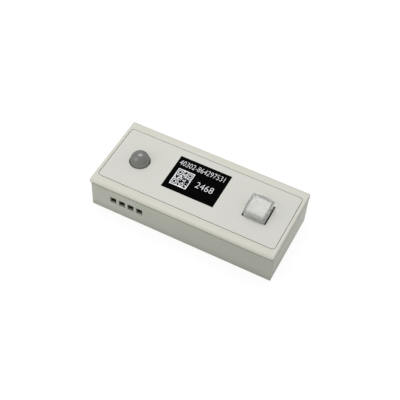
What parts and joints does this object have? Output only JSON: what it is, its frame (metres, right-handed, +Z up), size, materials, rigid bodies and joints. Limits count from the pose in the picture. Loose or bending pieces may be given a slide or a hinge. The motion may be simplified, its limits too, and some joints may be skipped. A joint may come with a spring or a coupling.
{
  "type": "electronic shelf label",
  "caption": "Flat box-shaped electronic shelf label with a domed signal lamp, a lit screen, a clear square confirm button and wire entries in its front wall.",
  "frame": {"origin": "centre of the flat underside of the base", "axes": "+X along the length from the lamp to the button, +Y to the rear, away from the wire entries, +Z up out of the face"},
  "size_m": [0.104, 0.0472, 0.0272],
  "materials": {
    "housing_plastic": "fine moulded grain",
    "face_film": "smooth satin film",
    "dark_lens": "polished, dark, lit from behind",
    "gasket_foam": "closed-cell foam",
    "screen_glass": "polished",
    "white_plastic": "moulded",
    "flex_film": "amber film",
    "socket_plastic": "moulded",
    "lamp_resin": "milky diffused resin",
    "black_plastic": "moulded",
    "clear_plastic": "clear, polished",
    "plated_steel": "zinc plated",
    "spring_steel": "drawn wire",
    "tinned_wire": "tinned",
    "contact_brass": "rolled strip",
    "cage_brass": "nickel plated",
    "terminal_plastic": "moulded green",
    "board_laminate": "green solder mask",
    "chip_resin": "moulded epoxy",
    "coil_ferrite": "sintered",
    "capacitor_can": "drawn can",
    "crystal_can": "welded can",
    "chip_ceramic": "fired ceramic"
  },
  "bodies": {
    "housing": {"base_shell": "housing_plastic", "top_cover": "housing_plastic", "face_sheet": "face_film", "case_screws": "plated_steel", "display_lens": "dark_lens", "display_gasket": "gasket_foam", "display_panel": "screen_glass", "display_tray": "white_plastic", "display_flex": "flex_film", "flex_connector": "socket_plastic", "lamp_dome": "lamp_resin", "lamp_spacer": "black_plastic", "lamp_leads": "tinned_wire", "switch_base": "black_plastic", "switch_lid": "black_plastic", "switch_contacts": "contact_brass", "return_spring": "spring_steel", "terminal_block": "terminal_plastic", "terminal_contacts": "contact_brass", "main_board": "board_laminate", "board_screws": "plated_steel", "processor_chip": "chip_resin", "bus_chip": "chip_resin", "regulator_chip": "chip_resin", "power_coil": "coil_ferrite", "buffer_capacitor": "capacitor_can", "clock_crystal": "crystal_can", "chip_parts": "chip_ceramic"},
    "button": {"button_cap": "clear_plastic", "button_insert": "white_plastic", "button_plunger": "white_plastic", "contact_bridge": "contact_brass"},
    "screw_1": {"terminal_screw_1": "plated_steel"},
    "clamp_1": {"clamp_cage_1": "cage_brass"},
    "screw_2": {"terminal_screw_2": "plated_steel"},
    "clamp_2": {"clamp_cage_2": "cage_brass"},
    "screw_3": {"terminal_screw_3": "plated_steel"},
    "clamp_3": {"clamp_cage_3": "cage_brass"},
    "screw_4": {"terminal_screw_4": "plated_steel"},
    "clamp_4": {"clamp_cage_4": "cage_brass"}
  },
  "joints": [
    {"name": "button_press", "type": "slide", "parent": "housing", "child": "button", "axis": [0, 0, -1], "range_m": [0, 0.001], "stiffness_N_per_m": 600, "springref_m": -0.001, "deforming": ["return_spring"]},
    {"name": "screw_1_turn", "type": "hinge", "parent": "housing", "child": "screw_1", "pos_m": [-0.0385, -0.01559, 0.0056], "axis": [0, 0, 1], "range_deg": [0, 1728.1]},
    {"name": "clamp_1_draw", "type": "slide", "parent": "housing", "child": "clamp_1", "axis": [0, 0, -1], "range_m": [0, 0.0024]},
    {"name": "screw_2_turn", "type": "hinge", "parent": "housing", "child": "screw_2", "pos_m": [-0.03342, -0.01559, 0.0056], "axis": [0, 0, 1], "range_deg": [0, 1728.1]},
    {"name": "clamp_2_draw", "type": "slide", "parent": "housing", "child": "clamp_2", "axis": [0, 0, -1], "range_m": [0, 0.0024]},
    {"name": "screw_3_turn", "type": "hinge", "parent": "housing", "child": "screw_3", "pos_m": [-0.02834, -0.01559, 0.0056], "axis": [0, 0, 1], "range_deg": [0, 1728.1]},
    {"name": "clamp_3_draw", "type": "slide", "parent": "housing", "child": "clamp_3", "axis": [0, 0, -1], "range_m": [0, 0.0024]},
    {"name": "screw_4_turn", "type": "hinge", "parent": "housing", "child": "screw_4", "pos_m": [-0.02326, -0.01559, 0.0056], "axis": [0, 0, 1], "range_deg": [0, 1728.1]},
    {"name": "clamp_4_draw", "type": "slide", "parent": "housing", "child": "clamp_4", "axis": [0, 0, -1], "range_m": [0, 0.0024]}
  ],
  "couplings": [
    {"joint": "screw_1_turn", "follows": "clamp_1_draw", "rad_per_m": 12566},
    {"joint": "screw_2_turn", "follows": "clamp_2_draw", "rad_per_m": 12566},
    {"joint": "screw_3_turn", "follows": "clamp_3_draw", "rad_per_m": 12566},
    {"joint": "screw_4_turn", "follows": "clamp_4_draw", "rad_per_m": 12566}
  ]
}
